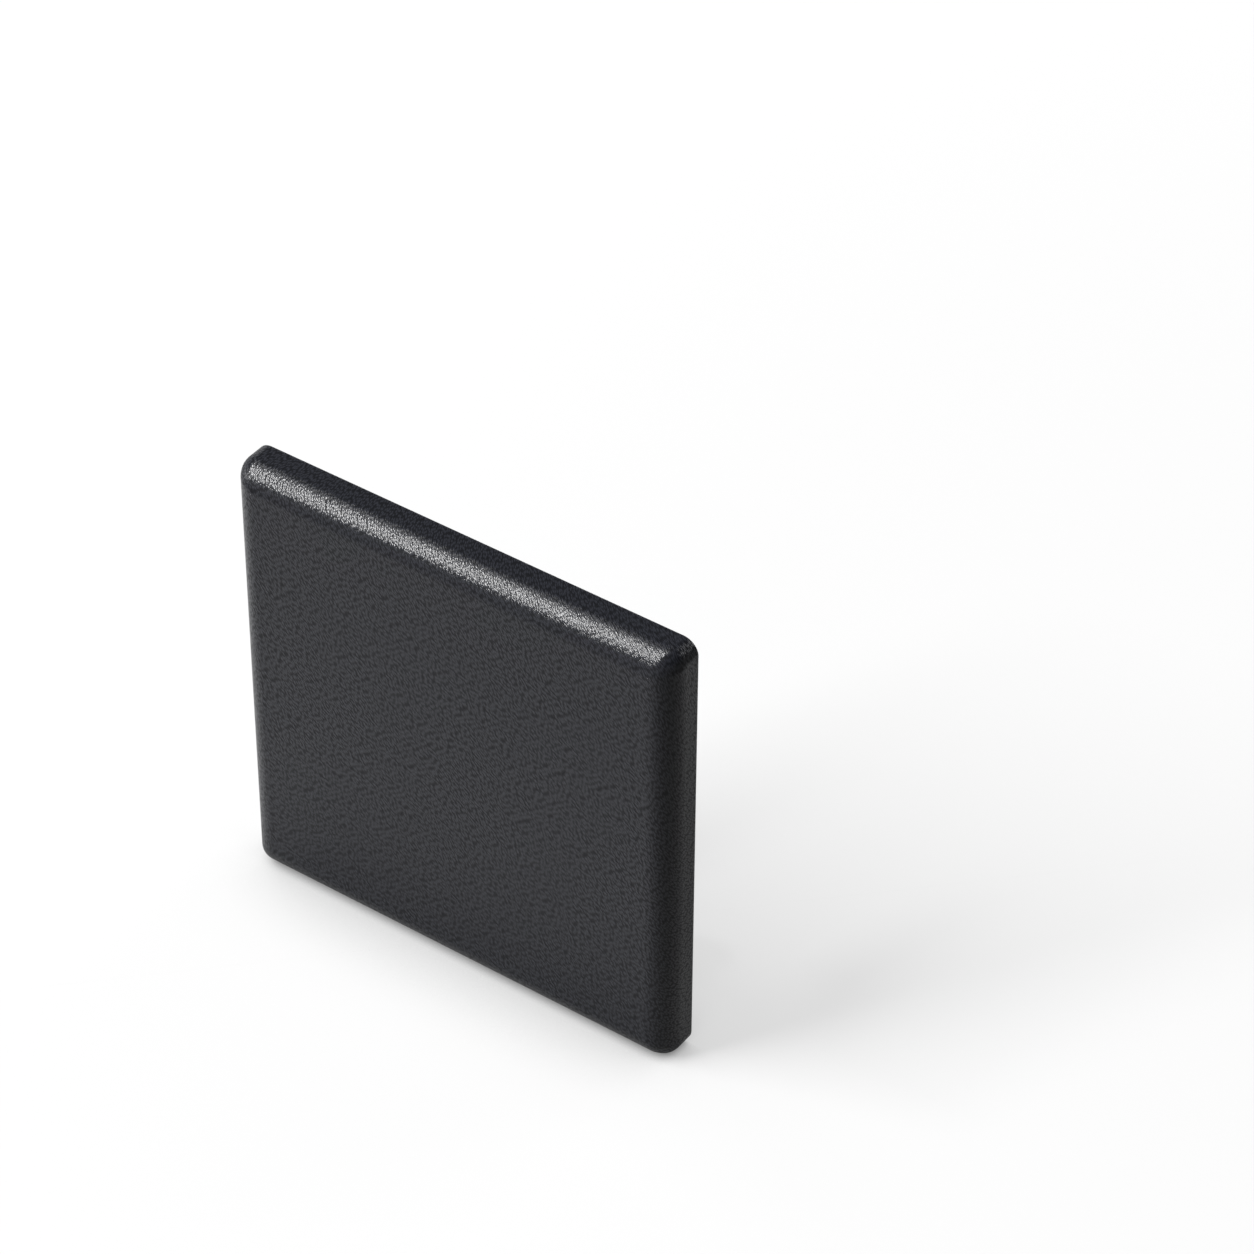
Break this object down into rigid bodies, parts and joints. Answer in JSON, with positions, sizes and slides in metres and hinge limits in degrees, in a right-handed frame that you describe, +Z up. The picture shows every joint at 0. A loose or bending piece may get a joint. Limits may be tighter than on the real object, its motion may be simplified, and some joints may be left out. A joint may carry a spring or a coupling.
{
  "type": "profile end cap",
  "caption": "Square push-in end cap for slotted aluminium profile: a rounded cover plate with ribbed back and barbed round pegs.",
  "frame": {"origin": "centre of the seat face that bears on the profile's end", "axes": "+Z up, +Y along the pegs into the profile, the visible front faces -Y"},
  "size_m": [0.04, 0.0115, 0.04],
  "materials": {
    "cap_plastic": "fine moulded grain"
  },
  "bodies": {
    "root": {"end_cap": "cap_plastic"}
  },
  "joints": []
}
